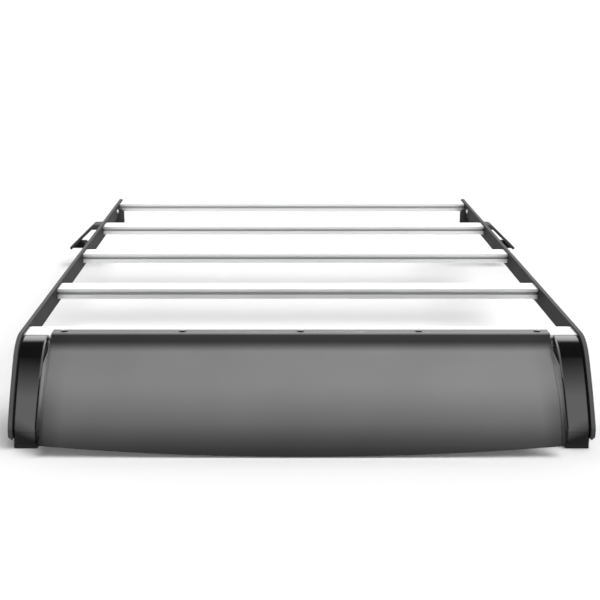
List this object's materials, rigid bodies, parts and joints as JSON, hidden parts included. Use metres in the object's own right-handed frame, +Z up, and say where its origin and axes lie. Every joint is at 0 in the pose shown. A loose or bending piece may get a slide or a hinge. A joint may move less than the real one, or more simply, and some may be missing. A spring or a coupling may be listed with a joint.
{
  "type": "vehicle roof rack",
  "caption": "Low open-frame vehicle roof rack: slotted aluminium crossbars between black side rails, with a wind fairing across the front and outrigger legs near the rear.",
  "frame": {"origin": "centre of the flat underside of the left front foot", "axes": "+X to the right as seen from the front, +Y towards the rear, +Z up"},
  "size_m": [1.7586, 2.12, 0.2425],
  "materials": {
    "bar_aluminium": "clear anodised extrusion with fine lengthwise lines",
    "rail_black": "satin black powder coat with a fine texture",
    "fairing_black": "satin black powder coat on formed sheet",
    "post_gloss": "gloss black paint",
    "foot_rubber": "matt black moulded rubber",
    "bolt_black": "black-coated button-head bolts",
    "trim_rubber": "dark grey edge trim"
  },
  "bodies": {
    "root": {"front_crossbar": "bar_aluminium", "second_crossbar": "bar_aluminium", "middle_crossbar": "bar_aluminium", "fourth_crossbar": "bar_aluminium", "rear_crossbar": "bar_aluminium", "wind_fairing": "fairing_black", "fairing_bolts": "bolt_black", "left_side_rail": "rail_black", "left_front_post": "post_gloss", "left_front_foot": "foot_rubber", "left_rear_bracket": "rail_black", "left_rear_leg": "rail_black", "left_rear_foot": "foot_rubber", "left_fairing_trim": "trim_rubber", "right_side_rail": "rail_black", "right_front_post": "post_gloss", "right_front_foot": "foot_rubber", "right_rear_bracket": "rail_black", "right_rear_leg": "rail_black", "right_rear_foot": "foot_rubber", "right_fairing_trim": "trim_rubber"}
  },
  "joints": []
}
